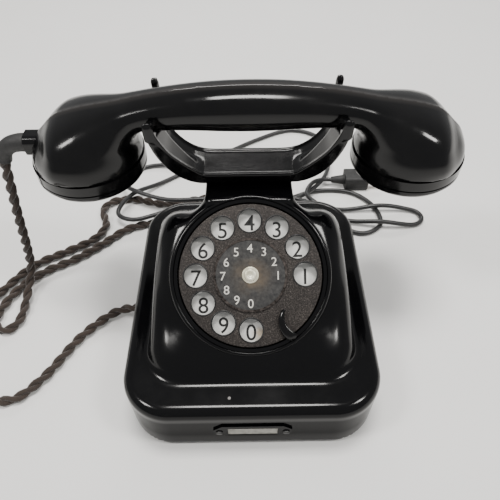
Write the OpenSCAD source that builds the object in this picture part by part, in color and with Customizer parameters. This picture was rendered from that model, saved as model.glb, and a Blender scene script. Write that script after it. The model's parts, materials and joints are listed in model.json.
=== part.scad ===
// Desk telephone with a finger wheel, a pressed steel body and a two-capsule handset.
// Millimetres, +Z up, the front of the body towards -Y.
// The origin is on the table, under the middle of the body.

/* [Body] */
// Width of the body at its rolled edge
body_w = 143; // [136:1:150]
// Depth of the body from front wall to back wall
body_d = 161.6; // [154:0.2:168]
// Plan radius of the body's corners
body_r = 27; // [22:1:32]
// Height of the rolled edge's flat top
flange_z = 40; // [38:1:42]
// Thickness of the pressed steel
steel_t = 1.6; // [1.2:0.1:2]
// Height of the rubber feet
foot_h = 3; // [2:0.5:4]

/* [Dial] */
// Height of the finger wheel's centre
dial_z = 75; // [73:0.5:77]
// Distance of the finger wheel's centre in front of the origin
dial_y = 15.4; // [14:0.2:17]
// Slope of the dial from level
dial_tilt = 37; // [35:0.5:39]
// Radius of the finger wheel
wheel_r = 39.3; // [38:0.1:40]
// Radius of a finger hole
finger_r = 6.5; // [6:0.1:7]
// Radius of the circle of finger holes
finger_pitch = 30; // [28:0.5:31]

/* [Cradle and handset] */
// Distance of the cradle's centre behind the origin
cradle_y = 39; // [38:0.5:40]
// Half the distance between the left and the right horns
horn_x = 49.2; // [48:0.2:52]
// Height of the handle's top ridge above the table
ridge_z = 158; // [156:0.5:158]
// Half the distance between the two capsules
capsule_x = 87.7; // [87:0.1:90]
// Radius of the screw caps over the capsules
cap_r = 30.4; // [30:0.1:32]

/* [Cords] */
// Diameter of the twisted handset cord
handset_cord_d = 6.4; // [6:0.1:7]
// Diameter of the round line cord
line_cord_d = 3.6; // [3:0.1:4]

/* [Hidden] */
$fn = 64;

front_y = -80;
back_y = front_y + body_d;
mid_y = (front_y + back_y) / 2;
skirt_z = foot_h;
plate_t = 1.5;
hood_w = 116;
hood_front = -61;
hood_back = 70;
neck_w = 49;
neck_d = 44;
neck_z = 100;
corner_x = body_w / 2 - 20;
corner_y = body_d / 2 - 20;

cup_r = 41.8;
cup_bore = wheel_r + 0.6;
cup_floor = -8;
wheel_t = 2;
gear_z = -12;
gear_teeth = 60;
pinion_teeth = 12;
gear_module = 0.6;
gear_pitch = gear_teeth * gear_module / 2;
pinion_pitch = pinion_teeth * gear_module / 2;
pinion_at = 150;
shaft_r = 2.5;
running = 0.05;

stem_r = 4;
stem_dx = 12;
cradle_z = 101;
floor_t = 3.5;
saddle_drop = 1;
horn_z_front = 148.2;
horn_z_back = 149;
fork_in = 18.6;
fork_out = 21.6;

cap_z = 105;
cap_h = 13;
bulb_z = cap_z + cap_h;
handle_bottom = 135.2;
ridge_r = 282;
handset_end = capsule_x + cap_r;

gong_r = 22;
gong_x = 27.5;
gong_y = -30;
gong_z = 20;
floor_z = foot_h + plate_t;
lug_x = 35.5;
lug_y = 60.8;
clapper_at = [0, -6, 21.5];
clapper_l = 24;

label_z = 20;
label_screw_x = 18.2;
label_t = 1.6;
gland_r = 5;
gland_z = 12;
side_gland_y = 8;
rear_gland_x = 28;
plug_x = 70;
plug_y = 138;
plug_z = 6.5;

// Routes of the cords, as [x, y, z] points on their middle lines.
boot_route = [
    [-119.6, 39, 125], [-124, 39, 125], [-129.2, 39, 123.6], [-133.8, 39, 119.8], [-136.5, 39, 114]
];
upper_route = [
    [-136.5, 39, 114], [-138.5, 39, 104], [-141, 39, 90], [-144, 39, 74], [-146.5, 39, 59],
    [-148.6, 39, 46]
];
lower_route = [
    [-148.7, 39, 45.5], [-153, 39.5, 24], [-156, 35, 11], [-157, 22, 5], [-157, 7, 3.4],
    [-161, -2, 3.4], [-169, -3, 3.4], [-174, 5, 3.4], [-171, 19, 3.4], [-163, 34, 3.4],
    [-149, 47, 3.4], [-130, 58, 3.4], [-112, 73, 3.4], [-95, 88, 3.4], [-68, 95, 3.4],
    [-38, 96, 3.4], [-15, 101, 3.4], [-9, 112, 3.4], [-20, 123, 3.4], [-46, 119, 3.4],
    [-70, 115, 3.4], [-94, 121, 3.4], [-112, 119, 3.4], [-119, 108, 3.4], [-114, 93, 3.4],
    [-120, 78, 3.4], [-139, 65, 3.4], [-160, 52, 3.4], [-176, 30, 3.4], [-188, 6, 3.4],
    [-188, -24, 3.4], [-172, -48, 3.4], [-147, -53, 3.4], [-130, -38, 3.4], [-113, -10, 3.4],
    [-93, 8, 5], [-73.5, 8, 12]
];
line_route = [
    [28, 83.2, 12], [31, 93, 7], [46, 98, 2.2], [66, 90, 2], [88, 80, 2], [104, 90, 2],
    [101, 111, 2], [84, 127, 2], [56, 129, 2], [30, 119, 2.6], [0, 109, 8], [-32, 104, 9],
    [-63, 101, 9], [-90, 92, 9], [-105, 101, 8], [-96, 122, 8.5], [-74, 143, 2.2], [-36, 170, 2],
    [6, 199, 2], [40, 214, 2], [66, 202, 2], [72, 172, 2], [62, 138, 6], [36, 115, 6],
    [4, 106, 11], [-26, 110, 13], [-66, 110, 13], [-98, 124, 13], [-108, 146, 4], [-86, 165, 2],
    [-46, 156, 6], [0, 128, 5], [36, 110, 12], [72, 106, 2.6], [106, 106, 6.5], [128, 105, 3],
    [136.5, 101, 2.2], [137, 93, 2.2], [128, 88, 2.4], [104, 88, 6.5], [76, 94, 2.8],
    [56, 104, 10], [47, 116, 11], [53, 130, 10.5],
    [plug_x - 7, plug_y, plug_z + 0.2], [plug_x, plug_y, plug_z]
];

// ---- helpers ----

// A flat rounded rectangle centred on the body's middle, drawn with true arcs.
module plan(w, d, r) {
    translate([0, mid_y]) {
        square([w - 2 * r, d], center = true);
        square([w, d - 2 * r], center = true);
        for (x = [-1, 1], y = [-1, 1])
            translate([x * (w / 2 - r), y * (d / 2 - r)]) circle(r = r);
    }
}

// A flat rounded rectangle centred on the origin.
module pad(w, d, r) {
    square([w - 2 * r, d], center = true);
    square([w, d - 2 * r], center = true);
    for (x = [-1, 1], y = [-1, 1])
        translate([x * (w / 2 - r), y * (d / 2 - r)]) circle(r = r);
}

// A slab of the body's plan, drawn in by some distance, for a hull.
module plan_slab(in, z, h) {
    translate([0, 0, z]) linear_extrude(h) plan(body_w - 2 * in, body_d - 2 * in, body_r - in, $fn = 32);
}

// Puts a child in the dial's own frame: its z is the dial's outward normal.
module at_dial() translate([0, -dial_y, dial_z]) rotate([dial_tilt, 0, 0]) children();

// Repeats a child at four places about the body's middle.
module at_corners(x, y) {
    for (sx = [-1, 1], sy = [-1, 1]) translate([sx * x, mid_y + sy * y, 0]) children();
}

// A pan-head screw that points down from z = 0, with a slot in its head.
module screw(r, l, head_r, head_h) {
    difference() {
        cylinder(r = head_r, h = head_h);
        translate([-head_r, -0.4, head_h * 0.45]) cube([2 * head_r, 0.8, head_h]);
    }
    translate([0, 0, -l]) cylinder(r = r, h = l + 0.01);
}

// Extrudes a side view, drawn as (y, z), over a width across X.
module across(w) rotate([90, 0, 90]) translate([0, 0, -w / 2]) linear_extrude(w) children();

// Extrudes a front view, drawn as (x, z), over a depth along Y from y0 to y1.
module along(y0, y1) translate([0, y1, 0]) rotate([90, 0, 0]) linear_extrude(y1 - y0) children();

// A gear outline with trapezoid teeth, narrow enough to leave backlash.
module gear_flat(teeth, m, fullness) {
    pitch = teeth * m / 2;
    circle(r = pitch - 1.1 * m);
    for (i = [0 : teeth - 1]) rotate(i * 360 / teeth) {
        half_root = fullness * m * 0.92;
        half_tip = fullness * m * 0.3;
        polygon([
            [pitch - 1.3 * m, -half_root], [pitch + 0.85 * m, -half_tip],
            [pitch + 0.85 * m, half_tip], [pitch - 1.3 * m, half_root]
        ]);
    }
}

// ---- base ----

module base_plate() {
    color([0.16, 0.16, 0.17]) difference() {
        translate([0, 0, foot_h]) linear_extrude(plate_t)
            plan(body_w - 2 * steel_t - 0.4, body_d - 2 * steel_t - 0.4, body_r - steel_t);
        at_corners(corner_x, corner_y) cylinder(r = 2.5, h = 20, center = true);
        at_corners(lug_x, lug_y) cylinder(r = 1.6, h = 20, center = true);
    }
}

module rubber_feet() {
    color([0.07, 0.07, 0.07]) at_corners(corner_x, corner_y) {
        cylinder(r = 7.5, h = foot_h);
        cylinder(r = 2.5, h = foot_h + plate_t);
        translate([0, 0, foot_h + plate_t]) cylinder(r = 4, h = 1.5);
    }
}

module base_screws() {
    color([0.55, 0.55, 0.56]) at_corners(lug_x, lug_y)
        translate([0, 0, foot_h]) rotate([180, 0, 0]) screw(1.6, 9, 3, 1.6);
}

// The hood's outer or inner form: foot, dial slope and neck, drawn in by the same distance all round.
module hood_form(in) {
    foot_d = hood_back - hood_front;
    hull() {
        translate([0, (hood_front + hood_back) / 2, flange_z - 4])
            linear_extrude(4.4 - in) pad(hood_w - 2 * in, foot_d - 2 * in, 18 - in, $fn = 32);
        translate([0, 17, 48])
            linear_extrude(6 - in) pad(hood_w - 8 - 2 * in, 74 - 2 * in, 18 - in, $fn = 32);
        at_dial() translate([0, 0, -8]) cylinder(r = cup_r + 3 - in, h = 5 - in, $fn = 48);
        translate([0, 20, 78])
            linear_extrude(6 - in) pad(94 - 2 * in, 16 - 2 * in, 7.9 - in, $fn = 32);
    }
    translate([0, cradle_y, flange_z - 4])
        linear_extrude(neck_z + 4 - flange_z - in) pad(neck_w - 2 * in, neck_d - 2 * in, 5 - in, $fn = 32);
}

// A block in the housing that takes one of the screws of the base plate, with a web to the wall.
module lug(sx, sy) {
    translate([sx * lug_x, mid_y + sy * lug_y, floor_z]) {
        translate([-5, -5, 0]) cube([10, 10, 40]);
        translate([-2, sy > 0 ? 0 : -20, 0]) cube([4, 20, 40]);
    }
}

module housing() {
    color([0.03, 0.03, 0.035]) difference() {
        union() {
            hull() {
                plan_slab(0, skirt_z, 30);
                plan_slab(0.9, skirt_z, 33);
                plan_slab(3, skirt_z, 35.8);
                plan_slab(6.5, skirt_z, flange_z - skirt_z);
            }
            hood_form(0);
        }
        difference() {
            union() for (step = [[steel_t, 33], [3.6, 36], [6, 37.4], [8.5, flange_z - steel_t]])
                translate([0, 0, skirt_z - 1]) linear_extrude(step[1] - skirt_z + 1)
                    plan(body_w - 2 * step[0], body_d - 2 * step[0], body_r - step[0]);
            for (sx = [-1, 1], sy = [-1, 1]) lug(sx, sy);
        }
        hood_form(steel_t);
        at_dial() translate([0, 0, -30]) cylinder(r = cup_r, h = 31.2);
        for (sx = [-1, 1]) translate([sx * stem_dx, cradle_y, neck_z - 5]) cylinder(r = stem_r + 0.6, h = 10);
        at_corners(lug_x, lug_y) cylinder(r = 1.6, h = foot_h + 12);
        translate([-body_w / 2, side_gland_y, gland_z]) rotate([0, 90, 0]) cylinder(r = gland_r, h = 12, center = true);
        translate([rear_gland_x, back_y, gland_z]) rotate([90, 0, 0]) cylinder(r = gland_r, h = 12, center = true);
        for (sx = [-1, 1]) translate([sx * label_screw_x, front_y, label_z])
            rotate([90, 0, 0]) cylinder(r = 1.1, h = 12, center = true);
    }
}

module label_frame() {
    color([0.05, 0.05, 0.055]) difference() {
        along(front_y - 1, front_y) translate([0, label_z]) polygon([
            [-14.8, -5.6], [14.8, -5.6], [16, -2.4], [21.4, -2.4], [21.4, 3], [16.6, 7.6],
            [-16.6, 7.6], [-21.4, 3], [-21.4, -2.4], [-16, -2.4]
        ]);
        along(front_y - 3, front_y + 1) translate([0, label_z + 0.4]) square([27, 8.4], center = true);
        for (sx = [-1, 1]) translate([sx * label_screw_x, front_y, label_z])
            rotate([90, 0, 0]) cylinder(r = 1.1, h = 12, center = true);
    }
}

module label_card() {
    color([0.72, 0.7, 0.62]) translate([0, front_y - 0.3, label_z + 0.4]) cube([27, 0.6, 8.4], center = true);
}

module label_screws() {
    color([0.1, 0.1, 0.1]) for (sx = [-1, 1]) translate([sx * label_screw_x, front_y - 1, label_z])
        rotate([90, 0, 0]) screw(1.1, 5, 1.9, label_t - 1);
}

// ---- dial ----

module dial_cup() {
    color([0.05, 0.05, 0.055]) at_dial() difference() {
        translate([0, 0, cup_floor - 4]) cylinder(r = cup_r, h = 5 - cup_floor);
        translate([0, 0, cup_floor + 2]) cylinder(r = cup_bore, h = 40);
        translate([0, 0, cup_floor - 10]) cylinder(r = cup_r - 2, h = 10);
        cylinder(r = shaft_r + 3, h = 60, center = true);
    }
}

module number_plate() {
    color([0.88, 0.88, 0.84]) at_dial() translate([0, 0, cup_floor + 2]) difference() {
        cylinder(r = cup_bore - 1.6, h = 1);
        cylinder(r = 20, h = 5, center = true);
    }
}

// The claw that a finger stops against: a crescent over the wheel, with its root in the cup's rim.
module finger_stop() {
    root = cup_r - 0.9;
    color([0.02, 0.02, 0.02]) at_dial() {
        rotate(-52) {
            translate([0, 0, 1.6]) linear_extrude(1.8) intersection() {
                difference() {
                    translate([35.8, 16]) circle(r = 20.5);
                    translate([37.3, 20.5]) circle(r = 20);
                }
                translate([24.8, -8]) square([18, 12]);
            }
            translate([0, 0, 1]) linear_extrude(2.4) intersection() {
                translate([root + 0.4, -2.2]) square([3, 5], center = true);
                circle(r = cup_r);
            }
        }
    }
}

module dial_frame() {
    color([0.7, 0.62, 0.35]) at_dial() translate([0, 0, -17]) difference() {
        cylinder(r = 27, h = 1.6);
        cylinder(r = shaft_r + running, h = 10, center = true);
        rotate(pinion_at) translate([gear_pitch + pinion_pitch + 0.3, 0, 0])
            cylinder(r = 1.2 + running, h = 10, center = true);
    }
}

module dial_pillars() {
    color([0.6, 0.6, 0.62]) at_dial() for (a = [30, 150 + 45, 270]) rotate(a) translate([24, 0, -15.4])
        cylinder(r = 1.8, h = 15.4 + cup_floor);
}

module return_spring() {
    color([0.35, 0.37, 0.42]) at_dial() translate([0, 0, -15.2]) difference() {
        cylinder(r = 10, h = 2.4);
        cylinder(r = 4, h = 10, center = true);
    }
}

module pulse_contacts() {
    color([0.75, 0.72, 0.65]) at_pinion() {
        translate([-9.8, 9, -20.6]) cube([4.4, 5, 3.6]);
        for (i = [0 : 2]) translate([-6.6 - i * 1.3, -5, -20]) cube([0.4, 14.5, 2.4]);
    }
}

module finger_wheel() {
    color([0.2, 0.17, 0.15]) at_dial() translate([0, 0, -wheel_t]) difference() {
        cylinder(r = wheel_r, h = wheel_t);
        for (i = [0 : 9]) rotate(i * 30) translate([finger_pitch, 0, 0])
            cylinder(r = finger_r, h = 10, center = true);
        cylinder(r = shaft_r, h = 10, center = true);
    }
}

module card_disc() {
    color([0.14, 0.12, 0.11]) at_dial() difference() {
        cylinder(r = 19, h = 0.8);
        cylinder(r = shaft_r, h = 10, center = true);
    }
}

module card_ring() {
    color([0.3, 0.25, 0.2]) at_dial() difference() {
        cylinder(r = 20.2, h = 1.1);
        translate([0, 0, -1]) cylinder(r = 19, h = 5);
    }
}

module centre_nut() {
    color([0.82, 0.76, 0.6]) at_dial() translate([0, 0, 0.8]) {
        difference() {
            cylinder(r = 4.6, h = 1);
            cylinder(r = shaft_r, h = 10, center = true);
        }
        translate([0, 0, 1]) cylinder(r = 3.1, h = 1.4, $fn = 6);
    }
}

module dial_shaft() {
    color([0.75, 0.75, 0.77]) at_dial() translate([0, 0, -19]) cylinder(r = shaft_r, h = 20.8);
}

module main_gear() {
    color([0.8, 0.65, 0.3]) at_dial() translate([0, 0, gear_z]) difference() {
        union() {
            linear_extrude(1.6) gear_flat(gear_teeth, gear_module, 0.8);
            cylinder(r = 5, h = 3);
        }
        cylinder(r = shaft_r, h = 20, center = true);
    }
}

// Puts a child on the pinion's own axis, in the dial's frame.
module at_pinion() at_dial() rotate(pinion_at) translate([gear_pitch + pinion_pitch + 0.3, 0, 0]) children();

module pinion_shaft() {
    color([0.75, 0.75, 0.77]) at_pinion() translate([0, 0, -26]) cylinder(r = 1.2, h = 17);
}

module pinion_gear() {
    color([0.8, 0.65, 0.3]) at_pinion() translate([0, 0, gear_z - 0.2]) difference() {
        linear_extrude(2) rotate(180 / pinion_teeth) gear_flat(pinion_teeth, gear_module, 0.72);
        cylinder(r = 1.2, h = 20, center = true);
    }
}

module pulse_cam() {
    color([0.45, 0.3, 0.15]) at_pinion() translate([0, 0, -19.4]) difference() {
        linear_extrude(1.6) {
            circle(r = 4);
            for (a = [0, 120, 240]) rotate(a) translate([3.2, 0]) circle(r = 1.8);
        }
        cylinder(r = 1.2, h = 20, center = true);
    }
}

module governor() {
    color([0.72, 0.6, 0.32]) at_pinion() translate([0, 0, -25]) difference() {
        union() {
            cylinder(r = 2.6, h = 4);
            for (a = [0, 180]) rotate(a) translate([5.2, 0, 1]) cylinder(r = 1.7, h = 2.6);
            translate([-5.2, -0.9, 1]) cube([10.4, 1.8, 1]);
        }
        cylinder(r = 1.2, h = 20, center = true);
    }
}

// ---- cradle ----

module stem_guide() {
    color([0.6, 0.6, 0.62]) difference() {
        translate([0, cradle_y, neck_z - steel_t - 14])
            linear_extrude(14) pad(neck_w - 2 * steel_t - 1, 18, 3);
        for (sx = [-1, 1]) translate([sx * stem_dx, cradle_y, 50])
            cylinder(r = stem_r + running, h = 60);
    }
}

module cradle_spring() {
    color([0.6, 0.62, 0.66]) for (sx = [-1, 1]) translate([sx * stem_dx, cradle_y, 58.2]) difference() {
        cylinder(r = 5.2, h = 11.6);
        cylinder(r = 4.3, h = 40, center = true);
    }
}

module hook_contacts() {
    color([0.75, 0.72, 0.65]) {
        translate([-21, cradle_y - 7, 46]) cube([42, 14, 4]);
        for (sx = [-1, 1]) translate([sx * stem_dx, cradle_y, 49.9]) difference() {
            cylinder(r = 7, h = 8.2);
            translate([0, 0, 1]) cylinder(r = 4.6, h = 10);
        }
        for (i = [-1 : 1]) translate([-19, cradle_y + i * 4 - 0.2, 30]) cube([38, 0.4, 16.1]);
    }
}

module switch_bracket() {
    color([0.6, 0.6, 0.62]) {
        translate([-21, cradle_y + 7, floor_z]) cube([42, 1.6, 50]);
        translate([-21, cradle_y + 7, floor_z]) cube([42, 12, 1.6]);
    }
}

// Half of the cradle's front view between its rim and its keel, at x >= 0.
function front_rim() = [[0, 110], [22, 110], [27, 112], [34, 121], [39.5, 129.5], [42.5, 136], [45, 142]];
function back_rim() = [[0, 110], [20, 110], [28, 111.2], [34, 113.8], [39, 117.5], [43, 122], [45.6, 129], [46.8, 140]];
function keel_points() = [[0, cradle_z], [25, cradle_z], [34, 104.5], [40, 110.5], [44.4, 118.5], [48.2, 131]];

// The cradle's front view, with the rim and the height of horns given.
module boat(rim, top) {
    keel = keel_points();
    for (s = [-1, 1]) scale_x(s) polygon(concat(
        rim, [[horn_x - 1.9, top - 2], [horn_x - 0.6, top], [horn_x + 1.4, top],
        [horn_x + 2.6, top - 2], [horn_x + 2.4, 140]],
        [for (i = [len(keel) - 1 : -1 : 0]) keel[i]]
    ));
}

// Mirrors a flat child where s is -1.
module scale_x(s) mirror([s < 0 ? 1 : 0, 0]) children();

// The front view of the cradle's saddle, which lies a little below the rim.
module saddle() {
    top = concat([for (q = back_rim()) if (q[1] < 134) q], [[46.2, 134.2], [48.4, 134.2]]);
    for (s = [-1, 1]) scale_x(s) polygon(concat(
        keel_points(),
        [for (i = [len(top) - 1 : -1 : 0]) top[i] - [0, saddle_drop]]
    ));
}

// The cradle's side view: two walls that lean outward.
module fork_side(out) {
    polygon([
        [cradle_y - 5.5 - out * 0.9, cradle_z - 1], [cradle_y + 5.5 + out * 0.9, cradle_z - 1],
        [cradle_y + fork_in + out, 134], [cradle_y + fork_in + out, 160],
        [cradle_y - fork_in - out, 160], [cradle_y - fork_in - out, 134]
    ]);
}

module cradle() {
    wall = fork_out - fork_in;
    color([0.02, 0.02, 0.02]) difference() {
        union() {
            intersection() {
                union() {
                    along(cradle_y - 30, cradle_y) boat(front_rim(), horn_z_front);
                    along(cradle_y, cradle_y + 30) boat(back_rim(), horn_z_back);
                }
                difference() {
                    across(120) fork_side(wall);
                    across(130) fork_side(0);
                }
            }
            intersection() {
                along(cradle_y - 30, cradle_y + 30) saddle();
                across(120) fork_side(wall);
            }
        }
        for (sx = [-1, 1]) translate([sx * stem_dx, cradle_y, cradle_z - 5]) cylinder(r = 2, h = 5 + floor_t);
        translate([0, cradle_y, 110 - saddle_drop - 1]) cylinder(r = 4.6, h = 5);
    }
}

module cradle_plug() {
    color([0.05, 0.05, 0.05]) translate([0, cradle_y, 110 - saddle_drop - 1]) cylinder(r = 4.6, h = 1.3);
}

module cradle_stem() {
    color([0.7, 0.7, 0.72]) for (sx = [-1, 1]) translate([sx * stem_dx, cradle_y, 0]) {
        translate([0, 0, 58]) cylinder(r = stem_r, h = cradle_z - 58);
        translate([0, 0, cradle_z]) cylinder(r = 2, h = floor_t);
        translate([0, 0, 70]) cylinder(r = 5.4, h = 2);
    }
}

// ---- ringer and electrics ----

module ringer_frame() {
    color([0.5, 0.5, 0.52]) {
        difference() {
            union() {
                translate([-44, gong_y - 16, floor_z]) cube([88, 42, 1.6]);
                translate([-23, gong_y - 16, floor_z]) cube([46, 60, 1.6]);
            }
            for (sx = [-1, 1]) translate([sx * gong_x, gong_y, 0]) cylinder(r = 1.6, h = 20);
        }
        for (sx = [-1, 1]) translate([sx * gong_x, gong_y, floor_z + 1.6]) difference() {
            cylinder(r = 4, h = gong_z + 12 - floor_z - 1.6);
            cylinder(r = 1.6, h = 80, center = true);
        }
        translate([clapper_at[0], clapper_at[1], floor_z + 1.6]) difference() {
            cylinder(r = 3.4, h = clapper_at[2] - 3.4 - floor_z - 1.6);
            cylinder(r = 1, h = 60, center = true);
        }
    }
}

// A gong: a thin bell with a hole for its screw.
module gong() {
    difference() {
        intersection() {
            translate([0, 0, -11]) sphere(r = 25);
            cylinder(r = gong_r, h = 17);
        }
        intersection() {
            translate([0, 0, -11]) sphere(r = 23.4);
            translate([0, 0, -1]) cylinder(r = gong_r - 1.6, h = 18);
        }
        cylinder(r = 1.6, h = 60, center = true);
    }
}

module gong_left() {
    color([0.62, 0.62, 0.6]) translate([-gong_x, gong_y, gong_z]) gong();
}

module gong_right() {
    color([0.62, 0.62, 0.6]) translate([gong_x, gong_y, gong_z]) gong();
}

module gong_screws() {
    color([0.75, 0.75, 0.77]) for (sx = [-1, 1]) translate([sx * gong_x, gong_y, gong_z + 14])
        screw(1.6, 16, 3.6, 1.8);
}

module ringer_magnet() {
    color([0.35, 0.1, 0.08]) translate([-20, clapper_at[1] + 21, floor_z]) cube([40, 5, 26]);
}

module ringer_coils() {
    color([0.3, 0.16, 0.08]) for (sx = [-1, 1])
        translate([sx * 13, clapper_at[1] + 18, clapper_at[2]]) rotate([90, 0, 0]) {
            cylinder(r = 8, h = 14);
            translate([0, 0, -3]) cylinder(r = 3, h = 17.8);
        }
}

module armature_pin() {
    color([0.8, 0.8, 0.82]) translate(clapper_at) cylinder(r = 1, h = 16, center = true);
}

module armature() {
    color([0.45, 0.46, 0.48]) translate(clapper_at) difference() {
        union() {
            cube([34, 2.6, 5], center = true);
            cylinder(r = 2.6, h = 5, center = true);
        }
        cylinder(r = 1 + running, h = 30, center = true);
    }
}

module clapper_rod() {
    color([0.75, 0.7, 0.5]) translate(clapper_at) {
        translate([0, -2.6, 0]) rotate([90, 0, 0]) cylinder(r = 0.9, h = clapper_l - 2.6);
        translate([0, -clapper_l, 0]) sphere(r = 3);
    }
}

module capacitor() {
    color([0.5, 0.5, 0.48]) translate([-62, 14, floor_z]) cube([24, 34, 24]);
}

module induction_coil() {
    color([0.28, 0.14, 0.08]) translate([36, 30, floor_z + 11]) rotate([90, 0, 0]) {
        translate([0, 0, -18]) cylinder(r = 8, h = 36);
        for (z = [-20, 18]) translate([-11, -11, z]) cube([22, 22, 2]);
    }
}

module terminal_block() {
    color([0.12, 0.08, 0.05]) difference() {
        translate([-24, 23, floor_z]) cube([44, 18, 10]);
        for (i = [0 : 4]) translate([-18 + i * 8, 32, floor_z + 4]) cylinder(r = 1.5, h = 20);
    }
}

module terminal_screws() {
    color([0.8, 0.7, 0.4]) for (i = [0 : 4]) translate([-18 + i * 8, 32, floor_z + 10])
        screw(1.5, 6, 2.8, 1.8);
}

// ---- handset ----

// Height of the handset's ridge at a distance from its middle.
function ridge(x) = ridge_z - ridge_r + sqrt(ridge_r * ridge_r - x * x);
// Blend from 0 to 1 between two distances.
function ramp(x, a, b) = let (t = min(1, max(0, (x - a) / (b - a)))) t * t * (3 - 2 * t);
// Half-width of the handle in y, and height of its underside, at a distance from the middle.
function handle_half(x) = 14.5 - 0.8 * ramp(abs(x), 10, 45) + 10 * ramp(abs(x), 54, 92);
function handle_low(x) = handle_bottom - 1.4 * (1 - ramp(abs(x), 0, 40)) - 14 * ramp(abs(x), 56, 80);

// The ring of points of the handle's cross-section at x.
function handle_ring(x) = let (
    top = ridge(x), low = handle_low(x), half = handle_half(x), mid = (top + low) / 2, h = (top - low) / 2
) [for (i = [0 : 23]) let (a = i * 15, c = cos(a), s = sin(a)) [
    x, cradle_y + half * sign(c) * pow(abs(c), 0.8), mid + h * sign(s) * pow(abs(s), 0.85)
]];

// A closed skin over rings that all have the same number of points.
module skin(rings) {
    n = len(rings[0]);
    m = len(rings);
    polyhedron(
        points = [for (r = rings) each r],
        faces = concat(
            [[for (i = [0 : n - 1]) i]],
            [for (j = [0 : m - 2], i = [0 : n - 1], t = [0, 1]) let (k = (i + 1) % n) t == 0
                ? [j * n + i, (j + 1) * n + i, (j + 1) * n + k]
                : [j * n + i, (j + 1) * n + k, j * n + k]],
            [[for (i = [n - 1 : -1 : 0]) (m - 1) * n + i]]
        )
    );
}

// The bell over a capsule, turned about the capsule's own axis.
module bulb() {
    crown = ridge(capsule_x) - bulb_z;
    rotate_extrude() polygon(concat(
        [[0, 0], [cap_r - 1.2, 0]],
        [for (i = [0 : 12]) let (a = i * 7.5) [(cap_r - 1.2) * pow(cos(a), 0.62), crown * pow(sin(a), 0.9)]]
    ));
}

module handset_shell() {
    color([0.02, 0.02, 0.02]) difference() {
        union() {
            skin([for (i = [-10 : 10]) handle_ring(i * 9)]);
            for (s = [-1, 1]) translate([s * capsule_x, cradle_y, bulb_z]) bulb();
            for (s = [-1, 1]) translate([s * capsule_x, cradle_y, bulb_z - 8]) cylinder(r = cap_r - 3, h = 9);
        }
        for (s = [-1, 1]) translate([s * capsule_x, cradle_y, bulb_z - 9]) {
            cylinder(r = cap_r - 5, h = 9 + 6);
            cylinder(r = cap_r - 12, h = 9 + 12);
        }
        for (s = [-1, 1]) translate([s * 40, cradle_y, bulb_z + 26]) rotate([0, 90 + s * 8, 0])
            cylinder(r = 3, h = 84, center = true);
        for (s = [-1, 1]) translate([s * (capsule_x - 9), cradle_y, bulb_z + 11]) cylinder(r = 3, h = 10);
        gland_block();
        translate([-handset_end, cradle_y, 125]) rotate([0, 90, 0]) cylinder(r = 3.2, h = 20);
    }
}

// The outer form of the end boss, which the shell is cut to take.
module gland_block() {
    translate([-handset_end - 1.5, cradle_y, 125]) rotate([90, 0, 90]) linear_extrude(7.5) pad(12, 12, 4);
}

// A screw cap with a finger grip line and sound holes.
module screw_cap(rows) {
    difference() {
        union() {
            translate([0, 0, 5]) cylinder(r = cap_r, h = cap_h - 5);
            rotate_extrude() polygon(concat(
                [[0, 0], [cap_r - 7, 0]],
                [for (i = [0 : 6]) let (a = i * 15) [cap_r - 6.6 + 6 * sin(a), 5.2 - 5.2 * cos(a)]],
                [[0, 5.2]]
            ));
        }
        translate([0, 0, 6.4]) difference() {
            cylinder(r = cap_r + 1, h = 0.9);
            translate([0, 0, -1]) cylinder(r = cap_r - 0.7, h = 3);
        }
        translate([0, 0, 3.2]) cylinder(r = cap_r - 3, h = cap_h);
        for (j = [1 : rows], i = [0 : 6 * j - 1]) rotate(i * 60 / j) translate([j * 5.5, 0, 0])
            cylinder(r = 1.1, h = 20, center = true);
        cylinder(r = 1.1, h = 20, center = true);
    }
}

module ear_cap() {
    color([0.02, 0.02, 0.02]) translate([-capsule_x, cradle_y, cap_z]) screw_cap(1);
}

module mouth_cap() {
    color([0.02, 0.02, 0.02]) translate([capsule_x, cradle_y, cap_z]) screw_cap(2);
}

// A round capsule under a cap, with a stepped rim.
module capsule() {
    translate([0, 0, 3.4]) cylinder(r = cap_r - 6, h = 4);
    translate([0, 0, 7.2]) cylinder(r = cap_r - 9, h = 8);
}

module receiver_capsule() {
    color([0.6, 0.6, 0.62]) translate([-capsule_x, cradle_y, cap_z]) capsule();
}

module microphone_capsule() {
    color([0.7, 0.6, 0.35]) translate([capsule_x, cradle_y, cap_z]) capsule();
}

module capsule_springs() {
    color([0.8, 0.75, 0.5]) for (s = [-1, 1], d = [-1, 1])
        translate([s * capsule_x - 6, cradle_y + d * 6 - 1.5, cap_z + 15.2]) cube([12, 3, 1.2]);
}

module handset_terminals() {
    color([0.8, 0.7, 0.4]) for (s = [-1, 1]) translate([s * capsule_x, cradle_y, bulb_z + 6]) {
        for (d = [-1, 1]) translate([0, d * 12, 0]) cylinder(r = 2, h = 6);
    }
}

// The squared end boss that the cord leaves the handset by.
module handset_gland() {
    color([0.03, 0.03, 0.03]) difference() {
        gland_block();
        translate([-handset_end - 6, cradle_y, 125]) rotate([0, 90, 0]) cylinder(r = 3.2, h = 20);
    }
}

// ---- cords ----

function unit(v) = v / norm(v);
// The direction of a route at each of its points.
function headings(p) = [for (i = [0 : len(p) - 1]) unit(p[min(i + 1, len(p) - 1)] - p[max(i - 1, 0)])];
// A sideways direction at each point, carried along the route without twist.
function sideways(t, u = [0, 1, 0], i = 0) = i == len(t) ? []
    : let (v = unit(u - (u * t[i]) * t[i])) concat([v], sideways(t, v, i + 1));

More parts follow.
